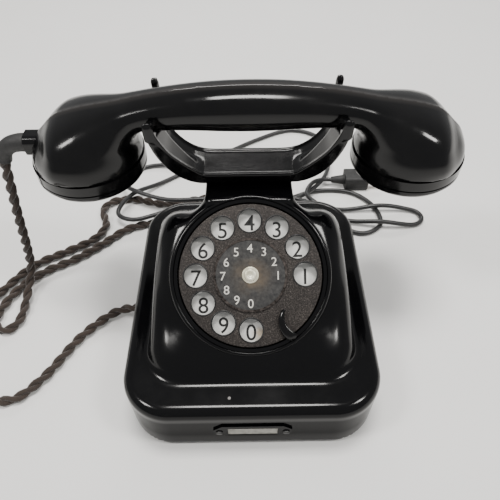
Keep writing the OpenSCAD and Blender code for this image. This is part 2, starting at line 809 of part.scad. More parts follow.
// A tube along a route; its radius runs evenly from one end's to the other's.
module tube(route, r_start, r_end, sides = 8) {
    t = headings(route);
    u = sideways(t);
    last = len(route) - 1;
    skin([for (i = [0 : last]) let (r = r_start + (r_end - r_start) * i / last, w = cross(t[i], u[i]))
        [for (k = [0 : sides - 1]) let (a = k * 360 / sides) route[i] + r * (cos(a) * u[i] + sin(a) * w)]]);
}

module handset_boot() {
    color([0.06, 0.06, 0.06]) tube(boot_route, 5.4, 4.4, 12);
}

module handset_cord_upper() {
    color([0.2, 0.12, 0.08]) tube(upper_route, handset_cord_d / 2, handset_cord_d / 2);
}

module handset_cord_lower() {
    color([0.2, 0.12, 0.08]) tube(lower_route, handset_cord_d / 2, handset_cord_d / 2);
}

module line_cord() {
    color([0.05, 0.05, 0.05]) tube(line_route, line_cord_d / 2, line_cord_d / 2);
}

module line_plug() {
    color([0.06, 0.06, 0.06]) translate([plug_x, plug_y, plug_z]) rotate([0, 90, 0]) {
        rotate_extrude() polygon([[0, 0], [2.6, 0], [4.2, 11], [0, 11]]);
        translate([0, 0, 11]) rotate([0, 0, 90]) linear_extrude(19) pad(16, 2 * plug_z, 3);
    }
}

module plug_pins() {
    color([0.8, 0.72, 0.45]) for (d = [-4, 4]) translate([plug_x + 30, plug_y + d, plug_z])
        rotate([0, 90, 0]) cylinder(r = 1.6, h = 11);
}

module side_gland() {
    color([0.05, 0.05, 0.05]) translate([-body_w / 2, side_gland_y, gland_z]) rotate([0, 90, 0]) difference() {
        union() {
            translate([0, 0, -2]) cylinder(r = 6.4, h = 2);
            cylinder(r = gland_r, h = steel_t);
            translate([0, 0, steel_t]) cylinder(r = 6.2, h = 1.6);
        }
        cylinder(r = handset_cord_d / 2, h = 30, center = true);
    }
}

module rear_gland() {
    color([0.05, 0.05, 0.05]) translate([rear_gland_x, back_y, gland_z]) rotate([90, 0, 0]) difference() {
        union() {
            translate([0, 0, -1.6]) cylinder(r = 6, h = 1.6);
            cylinder(r = gland_r, h = steel_t);
            translate([0, 0, steel_t]) cylinder(r = 5.4, h = 1.6);
        }
        cylinder(r = line_cord_d / 2, h = 30, center = true);
    }
}

// ---- what is drawn ----

base_plate();
rubber_feet();
base_screws();
housing();
label_frame();
label_card();
label_screws();
dial_cup();
number_plate();
finger_stop();
dial_frame();
dial_pillars();
return_spring();
pulse_contacts();
finger_wheel();
card_disc();
card_ring();
centre_nut();
dial_shaft();
main_gear();
pinion_shaft();
pinion_gear();
pulse_cam();
governor();
stem_guide();
cradle_spring();
hook_contacts();
switch_bracket();
cradle();
cradle_stem();
cradle_plug();
ringer_frame();
ringer_magnet();
ringer_coils();
gong_left();
gong_right();
gong_screws();
armature();
clapper_rod();
armature_pin();
capacitor();
induction_coil();
terminal_block();
terminal_screws();
handset_shell();
ear_cap();
mouth_cap();
receiver_capsule();
microphone_capsule();
capsule_springs();
handset_terminals();
handset_gland();
handset_boot();
side_gland();
rear_gland();
handset_cord_upper();
handset_cord_lower();
line_cord();
line_plug();
plug_pins();
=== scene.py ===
"""Looks of a desk telephone with a finger wheel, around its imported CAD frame. Metres, +Z up."""
import json
import math
import bpy
import numpy as np
from mathutils import Euler, Matrix, Vector


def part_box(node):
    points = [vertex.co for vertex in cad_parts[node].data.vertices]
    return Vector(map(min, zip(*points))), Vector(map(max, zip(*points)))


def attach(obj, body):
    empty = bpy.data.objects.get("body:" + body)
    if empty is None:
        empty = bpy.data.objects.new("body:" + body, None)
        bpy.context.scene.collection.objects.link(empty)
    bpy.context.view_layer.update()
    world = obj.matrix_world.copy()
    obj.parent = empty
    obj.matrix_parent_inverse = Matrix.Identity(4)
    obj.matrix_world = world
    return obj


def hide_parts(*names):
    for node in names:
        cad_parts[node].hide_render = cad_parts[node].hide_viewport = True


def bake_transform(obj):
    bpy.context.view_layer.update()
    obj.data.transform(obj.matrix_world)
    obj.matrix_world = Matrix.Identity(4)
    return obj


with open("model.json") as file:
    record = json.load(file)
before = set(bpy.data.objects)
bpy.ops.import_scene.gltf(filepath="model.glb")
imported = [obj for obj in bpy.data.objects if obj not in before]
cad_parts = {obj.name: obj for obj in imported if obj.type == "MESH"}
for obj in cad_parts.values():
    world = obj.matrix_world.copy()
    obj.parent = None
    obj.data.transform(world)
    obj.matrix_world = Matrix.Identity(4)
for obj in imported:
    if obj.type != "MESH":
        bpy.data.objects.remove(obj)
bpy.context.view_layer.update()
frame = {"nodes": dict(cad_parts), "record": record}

NODES = frame["nodes"]
MM = 0.001
scene = bpy.context.scene


# ---- places taken from the frame ----

def centre(node):
    low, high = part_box(node)
    return (Vector(low) + Vector(high)) / 2


WHEEL_JOINT = next(j for j in frame["record"]["behaviour"]["joints"] if j["name"] == "finger_wheel_turn")
DIAL_ORIGIN = Vector(WHEEL_JOINT["pos_m"])
DIAL_NORMAL = -Vector(WHEEL_JOINT["axis"])
DIAL_TILT = math.atan2(-DIAL_NORMAL.y, DIAL_NORMAL.z)
DIAL_FRAME = Matrix.Translation(DIAL_ORIGIN) @ Matrix.Rotation(DIAL_TILT, 4, "X")
HANDSET_Y = centre("ear_cap").y
CAPSULE_X = centre("mouth_cap").x


# ---- camera ----

CAMERA_PLACE = (0.0, -0.1821, 0.292)
CAMERA_DOWN = 49.6
CAMERA_ROLL = -0.9
CAMERA_LENS = 36.0


def add_camera():
    """The photograph's view: straight from the front, looking down steeply, with a slight roll."""
    data = bpy.data.cameras.new("camera")
    data.lens = CAMERA_LENS
    data.sensor_width = 36.0
    cam = bpy.data.objects.new("camera", data)
    scene.collection.objects.link(cam)
    roll = Matrix.Rotation(math.radians(CAMERA_ROLL), 4, "Z")
    aim = Euler((math.radians(90 - CAMERA_DOWN), 0, 0)).to_matrix().to_4x4()
    cam.matrix_world = Matrix.Translation(CAMERA_PLACE) @ aim @ roll
    scene.camera = cam


add_camera()


# ---- materials ----

class Shader:
    """A small helper that builds one principled material node by node."""

    def __init__(self, name, rough=0.4, metal=0.0, **sockets):
        self.mat = bpy.data.materials.new(name)
        self.mat.use_nodes = True
        self.tree = self.mat.node_tree
        self.main = self.tree.nodes["Principled BSDF"]
        self.set("Roughness", rough)
        self.set("Metallic", metal)
        for key, value in sockets.items():
            self.set(key.replace("_", " "), value)
        self.coords = self.node("ShaderNodeTexCoord").outputs["Object"]

    def set(self, socket, value):
        self.main.inputs[socket].default_value = value

    def node(self, kind, **props):
        made = self.tree.nodes.new(kind)
        for key, value in props.items():
            setattr(made, key, value)
        return made

    def link(self, a, b):
        self.tree.links.new(a, b)

    def feed(self, socket, value):
        if isinstance(value, (int, float)):
            socket.default_value = value
        else:
            self.link(value, socket)

    def noise(self, scale, detail=4.0, rough=0.55, stretch=None, lumps=0.0):
        made = self.node("ShaderNodeTexNoise")
        made.inputs["Scale"].default_value = scale
        made.inputs["Detail"].default_value = detail
        made.inputs["Roughness"].default_value = rough
        made.inputs["Distortion"].default_value = lumps
        source = self.coords
        if stretch:
            mapping = self.node("ShaderNodeMapping")
            mapping.inputs["Scale"].default_value = stretch
            self.link(source, mapping.inputs["Vector"])
            source = mapping.outputs["Vector"]
        self.link(source, made.inputs["Vector"])
        return made.outputs["Fac"]

    def ramp(self, fac, *stops):
        made = self.node("ShaderNodeValToRGB")
        points = made.color_ramp.elements
        while len(points) < len(stops):
            points.new(0.5)
        for point, (place, colour) in zip(points, stops):
            point.position = place
            value = colour if isinstance(colour, tuple) else (colour, colour, colour)
            point.color = (*value, 1.0)
        self.link(fac, made.inputs["Fac"])
        return made.outputs["Color"]

    def mix(self, fac, a, b):
        made = self.node("ShaderNodeMix", data_type="RGBA")
        self.feed(made.inputs["Factor"], fac)
        for index, value in ((6, a), (7, b)):
            if isinstance(value, tuple):
                made.inputs[index].default_value = (*value, 1.0)
            else:
                self.link(value, made.inputs[index])
        return made.outputs[2]

    def math(self, operation, a, b=0.0):
        made = self.node("ShaderNodeMath", operation=operation)
        self.feed(made.inputs[0], a)
        self.feed(made.inputs[1], b)
        return made.outputs[0]

    def axis(self, letter):
        made = self.node("ShaderNodeSeparateXYZ")
        self.link(self.coords, made.inputs["Vector"])
        return made.outputs[letter]

    def distance(self, point):
        made = self.node("ShaderNodeVectorMath", operation="DISTANCE")
        self.link(self.coords, made.inputs[0])
        made.inputs[1].default_value = point
        return made.outputs["Value"]

    def bump(self, height, strength, depth=0.0002):
        made = self.node("ShaderNodeBump")
        made.inputs["Strength"].default_value = strength
        made.inputs["Distance"].default_value = depth
        self.link(height, made.inputs["Height"])
        self.link(made.outputs["Normal"], self.main.inputs["Normal"])

    def colour(self, value):
        self.link(value, self.main.inputs["Base Color"])

    def roughness(self, value):
        self.link(value, self.main.inputs["Roughness"])


def enamel():
    """Black stove enamel on steel: slightly wavy, duller low down, with fine dust and one chip at the front."""
    s = Shader("black_enamel", rough=0.14, Specular_IOR_Level=0.3)
    dust = s.ramp(s.noise(900, 2.0, 0.7), (0.60, 0.0), (0.74, 1.0))
    patch = s.ramp(s.noise(22, 4.0), (0.42, 0.0), (0.7, 0.35))
    speck = s.math("MULTIPLY", dust, patch)
    base = s.mix(speck, (0.0012, 0.0012, 0.0016), (0.016, 0.0155, 0.015))
    low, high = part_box("housing")
    chip_at = Vector((-0.0122, low[1] + 0.0098, 0.0397))
    ragged = s.math("ADD", s.distance(chip_at), s.math("MULTIPLY", s.noise(900, 2.0), 0.0006))
    chip = s.ramp(s.math("MULTIPLY", ragged, 100.0), (0.11, 1.0), (0.13, 0.0))
    s.colour(s.mix(chip, base, (0.24, 0.23, 0.22)))
    s.roughness(s.ramp(s.noise(35, 5.0, 0.6), (0.3, 0.08), (0.75, 0.2)))
    height = s.math("MULTIPLY", s.axis("Z"), 10.0)
    shine = s.ramp(height, (0.02, 0.1), (0.15, 0.02), (0.3, 0.03), (0.39, 0.3))
    s.link(shine, s.main.inputs["Specular IOR Level"])
    s.bump(s.noise(260, 2.0), 0.05, 0.0001)
    return s.mat


def bakelite(name, seam_and_highlight=False):
    """Polished black phenolic with hairline scratches, and on the handset a mould parting line along its ridge,
    pressed in as a groove and given a painted highlight as a lighter line.
    """
    s = Shader(name, rough=0.13, Specular_IOR_Level=0.34)
    cloud = s.noise(60, 6.0, 0.65)
    base = s.ramp(cloud, (0.3, (0.0012, 0.0012, 0.0015)), (0.8, (0.0035, 0.0034, 0.0036)))
    scratch = s.ramp(s.noise(420, 2.0, 0.5, stretch=(0.06, 1.0, 1.0), lumps=0.4), (0.66, 0.0), (0.72, 1.0))
    height = s.math("SUBTRACT", s.math("MULTIPLY", s.noise(380, 2.0), 0.35), scratch)
    if seam_and_highlight:
        off = s.math("ABSOLUTE", s.math("SUBTRACT", s.axis("Y"), HANDSET_Y))
        line = s.ramp(off, (0.00022, 1.0), (0.00045, 0.0))
        above = s.math("GREATER_THAN", s.axis("Z"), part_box("ear_cap")[1][2] + 0.012)
        line = s.math("MULTIPLY", line, above)
        height = s.math("SUBTRACT", height, s.math("MULTIPLY", line, 4.0))
        # painted highlight: the parting line is coloured lighter than the black around it, standing in for
        # light caught along the crease; the groove in the bump is the real parting line
        base = s.mix(line, base, (0.02, 0.018, 0.017))
    s.colour(base)
    s.roughness(s.ramp(s.noise(48, 5.0, 0.7), (0.28, 0.08), (0.8, 0.22)))
    s.bump(height, 0.06, 0.0001)
    return s.mat


def wheel_paint():
    """Dark brown crackle paint of the finger wheel, worn to bare metal in grains."""
    s = Shader("crackle_paint", rough=0.42, metal=0.55)
    grain = s.noise(1500, 3.0, 0.7)
    base = s.ramp(grain, (0.36, (0.016, 0.0145, 0.014)), (0.56, (0.058, 0.053, 0.05)),
                  (0.78, (0.26, 0.245, 0.235)))
    broad = s.ramp(s.noise(70, 3.0), (0.3, (0.5, 0.46, 0.45)), (0.75, (1.0, 0.92, 0.86)))
    mixed = s.node("ShaderNodeMix", data_type="RGBA", blend_type="MULTIPLY")
    mixed.inputs["Factor"].default_value = 0.8
    s.link(base, mixed.inputs[6])
    s.link(broad, mixed.inputs[7])
    s.colour(mixed.outputs[2])
    s.roughness(s.ramp(grain, (0.3, 0.55), (0.8, 0.3)))
    s.bump(grain, 0.55, 0.00025)
    return s.mat


def card_metal():
    """The slate-grey centre disc, rubbed brown round the nut."""
    s = Shader("card_metal", rough=0.38, metal=0.35)
    near = s.ramp(s.distance(DIAL_ORIGIN), (0.004, 1.0), (0.0125, 0.0))
    side = s.ramp(s.noise(90, 4.0, 0.6), (0.38, 0.0), (0.66, 1.0))
    stain = s.math("MULTIPLY", near, side)
    base = s.ramp(s.noise(500, 4.0, 0.65), (0.3, (0.03, 0.03, 0.031)), (0.75, (0.085, 0.083, 0.08)))
    s.colour(s.mix(stain, base, (0.15, 0.115, 0.08)))
    s.roughness(s.ramp(s.noise(160, 4.0), (0.3, 0.28), (0.8, 0.5)))
    s.bump(s.noise(800, 3.0), 0.12, 0.0001)
    return s.mat


def white_enamel():
    """Vitreous white of the number plate, with a rust stain."""
    s = Shader("white_enamel", rough=0.2, Coat_Weight=0.3)
    broad = s.ramp(s.noise(60, 4.0), (0.3, (0.66, 0.66, 0.63)), (0.75, (0.84, 0.84, 0.81)))
    low = DIAL_FRAME @ Vector((0.0045, -0.0325, -0.005))
    near = s.math("ADD", s.distance(low), s.math("MULTIPLY", s.noise(300, 3.0), 0.006))
    stain = s.ramp(near, (0.0045, 0.75), (0.0066, 0.0))
    s.colour(s.mix(stain, broad, (0.42, 0.3, 0.17)))
    s.roughness(s.ramp(s.noise(120, 3.0), (0.3, 0.16), (0.8, 0.34)))
    s.bump(s.noise(200, 2.0), 0.05, 0.0001)
    return s.mat


def plain_metal(name, dark, light, rough=0.32, metal=1.0, scale=180.0):
    """A worn metal: two tones of colour, mottled gloss and fine tool marks."""
    s = Shader(name, rough=rough, metal=metal)
    tone = s.noise(scale, 5.0, 0.6)
    s.colour(s.ramp(tone, (0.3, dark), (0.72, light)))
    s.roughness(s.ramp(s.noise(scale * 0.6, 4.0), (0.3, rough * 0.75), (0.8, min(1.0, rough * 1.5))))
    s.bump(s.noise(scale * 4, 3.0), 0.12, 0.0001)
    return s.mat


def soft_black(name, tone, rough, scale):
    """Rubber, plastic sheath or paper: matt, with a fine uneven skin."""
    s = Shader(name, rough=rough)
    fine = s.noise(scale, 4.0, 0.6)
    darker = tuple(c * 0.6 for c in tone)
    s.colour(s.ramp(fine, (0.3, darker), (0.75, tone)))
    s.roughness(s.ramp(s.noise(scale * 0.4, 3.0), (0.3, rough * 0.8), (0.8, min(1.0, rough * 1.25))))
    s.bump(fine, 0.3, 0.0001)
    return s.mat


def textile():
    """Twisted strands of braided cotton, brown-black, with a fine weave and loose fibres."""
    s = Shader("braided_cotton", rough=0.85, Sheen_Weight=0.35, Sheen_Roughness=0.4)
    weave = s.node("ShaderNodeTexVoronoi")
    weave.inputs["Scale"].default_value = 1500
    s.link(s.coords, weave.inputs["Vector"])
    fibre = s.noise(2600, 2.0, 0.6)
    height = s.math("ADD", weave.outputs["Distance"], s.math("MULTIPLY", fibre, 0.5))
    broad = s.ramp(s.noise(90, 4.0), (0.32, (0.009, 0.0065, 0.0055)), (0.7, (0.03, 0.02, 0.0155)))
    light = s.ramp(height, (0.2, (0.011, 0.008, 0.0065)), (0.95, (0.066, 0.046, 0.034)))
    s.colour(s.mix(0.45, broad, light))
    s.roughness(s.ramp(fibre, (0.2, 0.75), (0.8, 0.95)))
    s.bump(height, 0.7, 0.0003)
    return s.mat


BLACK_ENAMEL = enamel()
BAKELITE = bakelite("bakelite")
# handset bakelite: its parting line has a groove and a painted highlight
SEAM_HIGHLIT_BAKELITE = bakelite("bakelite_seam_painted_highlight", seam_and_highlight=True)
CRACKLE = wheel_paint()
CARD_METAL = card_metal()
WHITE = white_enamel()
STEEL = plain_metal("bright_steel", (0.34, 0.34, 0.35), (0.62, 0.62, 0.62))
BLACK_STEEL = plain_metal("blackened_steel", (0.012, 0.012, 0.013), (0.06, 0.06, 0.06), rough=0.35, metal=0.7)
BRASS = plain_metal("old_brass", (0.34, 0.22, 0.09), (0.66, 0.48, 0.22), rough=0.3)
RING_METAL = plain_metal("ring_copper", (0.016, 0.014, 0.013), (0.14, 0.12, 0.11), rough=0.4, scale=500)
NUT_METAL = plain_metal("nut_cream", (0.62, 0.58, 0.42), (0.85, 0.82, 0.68), rough=0.3, metal=0.25)
MAGNET_RED = soft_black("magnet_red", (0.3, 0.07, 0.05), 0.5, 300)
WINDING = soft_black("varnished_winding", (0.3, 0.13, 0.05), 0.35, 900)
RUBBER = soft_black("rubber", (0.022, 0.022, 0.022), 0.62, 700)
SHEATH = soft_black("cord_sheath", (0.02, 0.02, 0.021), 0.38, 500)
PAPER = soft_black("paper_card", (0.42, 0.41, 0.37), 0.8, 350)
COTTON = textile()
PRINT_BLACK = soft_black("digit_black", (0.02, 0.02, 0.02), 0.35, 600)
PRINT_WHITE = soft_black("digit_white", (0.78, 0.76, 0.7), 0.45, 900)


def paint(material, *nodes):
    """Gives CAD nodes a material."""
    for name in nodes:
        data = NODES[name].data
        data.materials.clear()
        data.materials.append(material)


# ---- mesh helpers ----

def add_piece(name, verts, faces, material, body, slot, *replaced, smooth=True):
    """A mesh with one material, tied to its body and the CAD nodes that it replaces."""
    mesh = bpy.data.meshes.new(name)
    mesh.from_pydata([tuple(v) for v in verts], [], faces)
    mesh.validate()
    obj = bpy.data.objects.new(name, mesh)
    scene.collection.objects.link(obj)
    mesh.materials.append(material)
    if smooth:
        mesh.shade_smooth()
    finish_piece(obj, body, slot, *replaced)
    return obj


def finish_piece(obj, body, slot, *replaced):
    """Says what a piece rides with and what it replaces; slot is not used. A piece given no body is left
    unattached here.
    """
    if body:
        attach(obj, body)
    if replaced:
        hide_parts(*replaced)


def smooth_max(a, b, k):
    """The larger of two fields, rounded where they are within k of each other."""
    h = np.clip(0.5 + 0.5 * (a - b) / k, 0, 1)
    return b + (a - b) * h + k * h * (1 - h)


def smooth_min(a, b, k):
    return -smooth_max(-a, -b, k)


def ramp(x, a, b):
    """Eases from 0 at a to 1 at b."""
    t = np.clip((x - a) / (b - a), 0, 1)
    return t * t * (3 - 2 * t)


def rounded_rect(x, y, half_x, half_y, radius):
    """Signed distance to a rounded rectangle about the origin."""
    qx = np.abs(x) - (half_x - radius)
    qy = np.abs(y) - (half_y - radius)
    outside = np.hypot(np.maximum(qx, 0), np.maximum(qy, 0))
    return outside + np.minimum(np.maximum(qx, qy), 0) - radius


def rounded_top(side, top, radius):
    """Joins a side distance and a top distance with a round edge."""
    a = side + radius
    b = top + radius
    return np.minimum(np.maximum(a, b), 0) + np.hypot(np.maximum(a, 0), np.maximum(b, 0)) - radius


def gradient(field, p, step):
    """The slope of a field at each point."""
    out = np.empty_like(p)
    for i in range(3):
        shift = np.zeros(3)
        shift[i] = step
        out[:, i] = (field(p + shift) - field(p - shift)) / (2 * step)
    return out


def surface_net(field, low, high, step):
    """Quads over the surface where field, in millimetres, is zero, with each corner moved onto it."""
    axes = [np.arange(low[i], high[i] + step, step) for i in range(3)]
    shape = tuple(len(a) for a in axes)
    grid = np.stack(np.meshgrid(*axes, indexing="ij"), axis=-1).reshape(-1, 3)
    inside = (field(grid) < 0).reshape(shape)
    cells = tuple(n - 1 for n in shape)
    count = np.zeros(cells, int)
    for i, j, k in np.ndindex(2, 2, 2):
        count += inside[i:i + cells[0], j:j + cells[1], k:k + cells[2]]
    active = (count > 0) & (count < 8)
    index = np.full(cells, -1)
    index[active] = np.arange(active.sum())
    at = np.argwhere(active)
    points = np.array(low) + (at + 0.5) * step
    for _ in range(8):
        slope = gradient(field, points, 0.05)
        size = np.maximum((slope ** 2).sum(1), 0.05)
        move = -(field(points) / size)[:, None] * slope
        length = np.linalg.norm(move, axis=1, keepdims=True)
        points += move * np.minimum(1, 0.6 * step / np.maximum(length, 1e-9))
    faces = []
    for axis in range(3):
        u, v = (axis + 1) % 3, (axis + 2) % 3
        first = [slice(None)] * 3
        second = [slice(None)] * 3
        first[axis] = slice(0, -1)
        second[axis] = slice(1, None)
        a = inside[tuple(first)]
        b = inside[tuple(second)]
        where = np.argwhere(a != b)
        where = where[(where[:, u] > 0) & (where[:, v] > 0)]
        where = where[(where[:, u] < cells[u]) & (where[:, v] < cells[v])]
        corner = []
        for du, dv in ((1, 1), (0, 1), (0, 0), (1, 0)):
            c = where.copy()
            c[:, u] -= du
            c[:, v] -= dv
            corner.append(index[tuple(c.T)])
        quad = np.stack(corner, axis=1)
        flip = b[tuple(where.T)]
        quad[flip] = quad[flip][:, ::-1]
        faces.append(quad)
    return points, np.concatenate(faces)


def moulded(name, field, low, high, step, material, body, slot, *replaced):
    """A piece whose surface is where a field in millimetres is zero, shaded with the field's own slope."""
    points, faces = surface_net(field, low, high, step)
    obj = add_piece(name, points * MM, faces.tolist(), material, body, slot, *replaced)
    slope = gradient(field, points, 0.12)
    slope /= np.maximum(np.linalg.norm(slope, axis=1, keepdims=True), 1e-9)
    obj.data.normals_split_custom_set_from_vertices([tuple(n) for n in slope])
    return obj


def curve_points(route, per_span=12):
    """A smooth line through the route's points, in the route's own units."""
    p = np.array(route, float)
    p = np.vstack([2 * p[0] - p[1], p, 2 * p[-1] - p[-2]])
    out = []
    for i in range(1, len(p) - 2):
        for t in np.linspace(0, 1, per_span, endpoint=False):
            a, b, c, d = p[i - 1:i + 3]
            out.append(0.5 * (2 * b + (c - a) * t + (2 * a - 5 * b + 4 * c - d) * t ** 2
                              + (3 * b - a - 3 * c + d) * t ** 3))
    out.append(p[-2])
    return np.array(out)


def even_points(route, spacing):
    """The same line with points an even distance apart, and the distance along it of each."""
    line = curve_points(route)
    along = np.concatenate([[0], np.cumsum(np.linalg.norm(np.diff(line, axis=0), axis=1))])
    count = max(4, int(round(along[-1] / spacing)))
    s = np.linspace(0, along[-1], count + 1)
    return np.stack([np.interp(s, along, line[:, i]) for i in range(3)], axis=1), s


def frames_along(points, start=(0.0, 1.0, 0.0)):
    """Direction and two sideways vectors at each point, carried along without twist."""
    t = np.gradient(points, axis=0)
    t /= np.linalg.norm(t, axis=1, keepdims=True)
    u = np.empty_like(t)
    side = np.array(start)
    for i, d in enumerate(t):
        side = side - d * side.dot(d)
        side = side / np.linalg.norm(side)
        u[i] = side
    return t, u, np.cross(t, u)


def tube_mesh(points, radii, sides, across=None, start=(0.0, 1.0, 0.0)):
    """Corners and faces of a closed tube; across squashes the second sideways direction."""
    _, u, w = frames_along(points, start)
    radii = np.broadcast_to(radii, len(points))
    across = radii if across is None else np.broadcast_to(across, len(points))
    angle = np.linspace(0, 2 * math.pi, sides, endpoint=False)
    rings = (points[:, None] + radii[:, None, None] * np.cos(angle)[None, :, None] * u[:, None]
             + across[:, None, None] * np.sin(angle)[None, :, None] * w[:, None])
    n = len(points)
    faces = []
    for i in range(n - 1):
        for j in range(sides):
            k = (j + 1) % sides
            faces.append((i * sides + j, i * sides + k, (i + 1) * sides + k, (i + 1) * sides + j))
    faces.append(tuple(range(sides))[::-1])
    faces.append(tuple((n - 1) * sides + j for j in range(sides)))
    return rings.reshape(-1, 3), faces


def lathe(name, profile, place, material, body, slot, *replaced, segments):
    """Turns a profile of (radius, height) pairs in millimetres about a local Z, placed by a matrix."""
    verts, faces = [], []
    n = len(profile)
    for i in range(segments):
        a = 2 * math.pi * i / segments
        for r, z in profile:
            verts.append(place @ Vector((r * math.cos(a) * MM, r * math.sin(a) * MM, z * MM)))
    for i in range(segments):
        j = (i + 1) % segments
        for k in range(n - 1):
            faces.append((i * n + k, j * n + k, j * n + k + 1, i * n + k + 1))
    obj = add_piece(name, verts, faces, material, body, slot, *replaced)
    weld = obj.modifiers.new("weld", "WELD")
    weld.merge_threshold = 1e-6
    return obj


# ---- cords: the routes of the CAD solids, in millimetres ----

UPPER_ROUTE = [
    (-136.5, 39, 114), (-138.5, 39, 104), (-141, 39, 90), (-144, 39, 74), (-146.5, 39, 59),
    (-148.6, 39, 45.7)
]
LOWER_ROUTE = [
    (-148.6, 39, 45.7), (-153, 39.5, 24), (-156, 35, 11), (-157, 22, 5), (-157, 7, 3.4),
    (-161, -2, 3.4), (-169, -3, 3.4), (-174, 5, 3.4), (-171, 19, 3.4), (-163, 34, 3.4),
    (-149, 47, 3.4), (-130, 58, 3.4), (-112, 73, 3.4), (-95, 88, 3.4), (-68, 95, 3.4),
    (-38, 96, 3.4), (-15, 101, 3.4), (-9, 112, 3.4), (-20, 123, 3.4), (-46, 119, 3.4),
    (-70, 115, 3.4), (-94, 121, 3.4), (-112, 119, 3.4), (-119, 108, 3.4), (-114, 93, 3.4),
    (-120, 78, 3.4), (-139, 65, 3.4), (-160, 52, 3.4), (-176, 30, 3.4), (-188, 6, 3.4),
    (-188, -24, 3.4), (-172, -48, 3.4), (-147, -53, 3.4), (-130, -38, 3.4), (-113, -10, 3.4),
    (-93, 8, 5), (-73.5, 8, 12)
]
LINE_ROUTE = [
    (28, 83.2, 12), (31, 93, 7), (46, 98, 2.2), (66, 90, 2), (88, 80, 2), (104, 90, 2),
    (101, 111, 2), (84, 127, 2), (56, 129, 2), (30, 119, 2.6), (0, 109, 8), (-32, 104, 9),
    (-63, 101, 9), (-90, 92, 9), (-105, 101, 8), (-96, 122, 8.5), (-74, 143, 2.2), (-36, 170, 2),
    (6, 199, 2), (40, 214, 2), (66, 202, 2), (72, 172, 2), (62, 138, 6), (36, 115, 6),
    (4, 106, 11), (-26, 110, 13), (-66, 110, 13), (-98, 124, 13), (-108, 146, 4), (-86, 165, 2),
    (-46, 156, 6), (0, 128, 5), (36, 110, 12), (72, 106, 2.6), (106, 106, 6.5), (128, 105, 3),
    (136.5, 101, 2.2), (137, 93, 2.2), (128, 88, 2.4), (104, 88, 6.5), (76, 94, 2.8),
    (56, 104, 10), (47, 116, 11), (53, 130, 10.5), (63, 138, 6.7), (70, 138, 6.5)
]
LINE_CORD_D = 0.0036
TWIST_PITCH = 19.0
STRAND_R = 1.72
STRAND_OFF = 1.42


def twisted_pair(name, route, phase, node):
    """Two cotton strands laid round each other along a route; phase is the twist at the route's start."""
    line, along = even_points(route, 1.1)
    _, u, w = frames_along(line)
    verts, faces = [], []
    for turn in (0.0, math.pi):
        angle = phase + turn + along * 2 * math.pi / TWIST_PITCH
        strand = line + STRAND_OFF * (np.cos(angle)[:, None] * u + np.sin(angle)[:, None] * w)
        lumps = STRAND_R * (1 + 0.035 * np.sin(along * 2.1 + turn) + 0.03 * np.sin(along * 0.73))
        strand_verts, strand_faces = tube_mesh(strand, lumps, 10)
        first = sum(map(len, verts))
        faces += [tuple(i + first for i in face) for face in strand_faces]
        verts.append(strand_verts)
    obj = add_piece(name, np.concatenate(verts) * MM, faces, COTTON, None, "textile", node)
    path, _ = even_points(route, 6.0)
    return obj, [tuple(p * MM) for p in path], along[-1]


def add_handset_cord():
    """The twisted pair, in two pieces that meet end to end, the second carrying on the twist where the first
    ends.
    """
    upper, upper_path, upper_length = twisted_pair("cord_to_handset", UPPER_ROUTE, 0.0, "handset_cord_upper")
    twist = upper_length * 2 * math.pi / TWIST_PITCH
    lower, lower_path, _ = twisted_pair("cord_on_table", LOWER_ROUTE, twist, "handset_cord_lower")
    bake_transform(upper)
    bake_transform(lower)


def add_line_cord():
    """The thin round lead from the back of the body to its plug."""
    data = bpy.data.curves.new("line_lead", "CURVE")
    data.dimensions = "3D"
    data.bevel_depth = LINE_CORD_D / 2
    data.bevel_resolution = 4
    data.use_fill_caps = True
    spline = data.splines.new("POLY")
    points, _ = even_points(LINE_ROUTE, 2.5)
    spline.points.add(len(points) - 1)
    for place, point in zip(points, spline.points):
        point.co = (*(place * MM), 1.0)
    spline.use_smooth = True
    data.materials.append(SHEATH)
    lead = bpy.data.objects.new("line_lead", data)
    scene.collection.objects.link(lead)
    finish_piece(lead, "base", "sheath", "line_cord")


add_handset_cord()
add_line_cord()


# ---- housing ----

def dial_space(p):
    """Points of the frame, in millimetres, in the dial's own axes."""
    origin = np.array(DIAL_ORIGIN) / MM
    x, y, z = (p - origin).T
    c, s = math.cos(DIAL_TILT), math.sin(DIAL_TILT)
    return x, y * c + z * s, -y * s + z * c


LOW, HIGH = (np.array(corner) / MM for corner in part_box("housing"))
FOOT_Z = LOW[2]
FLANGE_Z = 40.0
NECK_Z = HIGH[2]
MID_Y = (LOW[1] + HIGH[1]) / 2
HOOD_FRONT, HOOD_BACK = -61.0, 70.0
HOOD_HALF_X = 58
DIAL_RISE = 0.7536
DIAL_SLANT = 1.252
CORNER_BULGE = 2.6
NECK_HALF = (24.5, 22)
COLLAR_R = 44
BORE_R = 42.5


